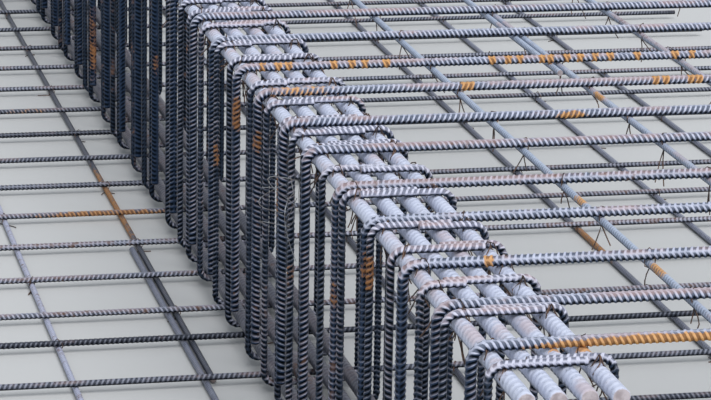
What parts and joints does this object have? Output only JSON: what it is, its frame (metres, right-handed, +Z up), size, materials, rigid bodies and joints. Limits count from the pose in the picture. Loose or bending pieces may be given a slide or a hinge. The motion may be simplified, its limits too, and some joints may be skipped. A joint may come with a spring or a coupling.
{
  "type": "rebar cage",
  "caption": "Tied beam reinforcement cage: thick main bars in closed links, with hooked cross bars and ribbed bar mats tied to it above and below.",
  "frame": {"origin": "on the floor, at the middle of the whole assembly's footprint", "axes": "+Y along the cage away from its near end, +X towards the top mat's free ends, +Z up"},
  "size_m": [2.4, 6, 0.5444],
  "materials": {
    "main_bar_steel": "hot rolled, ribbed, mill scale with light rust",
    "link_steel": "hot rolled, ribbed, mill scale with light rust",
    "hooked_bar_steel": "hot rolled, ribbed, mill scale with patches of orange rust",
    "mat_bar_steel": "hot rolled, ribbed, mill scale with light rust"
  },
  "bodies": {
    "root": {"top_main_bar_1": "main_bar_steel", "top_main_bar_2": "main_bar_steel", "top_main_bar_3": "main_bar_steel", "top_main_bar_4": "main_bar_steel", "bottom_main_bar_1": "main_bar_steel", "bottom_main_bar_2": "main_bar_steel", "bottom_main_bar_3": "main_bar_steel", "bottom_main_bar_4": "main_bar_steel", "links_01": "link_steel", "links_02": "link_steel", "links_03": "link_steel", "links_04": "link_steel", "links_05": "link_steel", "links_06": "link_steel", "links_07": "link_steel", "links_08": "link_steel", "links_09": "link_steel", "links_10": "link_steel", "links_11": "link_steel", "links_12": "link_steel", "links_13": "link_steel", "hooked_bars_01": "hooked_bar_steel", "hooked_bars_02": "hooked_bar_steel", "hooked_bars_03": "hooked_bar_steel", "hooked_bars_04": "hooked_bar_steel", "hooked_bars_05": "hooked_bar_steel", "hooked_bars_06": "hooked_bar_steel", "hooked_bars_07": "hooked_bar_steel", "hooked_bars_08": "hooked_bar_steel", "hooked_bars_09": "hooked_bar_steel", "top_mat_bar_1": "mat_bar_steel", "top_mat_bar_2": "mat_bar_steel", "top_mat_bar_3": "mat_bar_steel", "top_mat_bar_4": "mat_bar_steel", "top_mat_lapped_bar": "mat_bar_steel", "lower_long_bars": "mat_bar_steel", "lower_lapped_bar": "mat_bar_steel", "lower_cross_bars_1": "mat_bar_steel", "lower_cross_bars_2": "mat_bar_steel", "lower_cross_bars_3": "mat_bar_steel"}
  },
  "joints": []
}
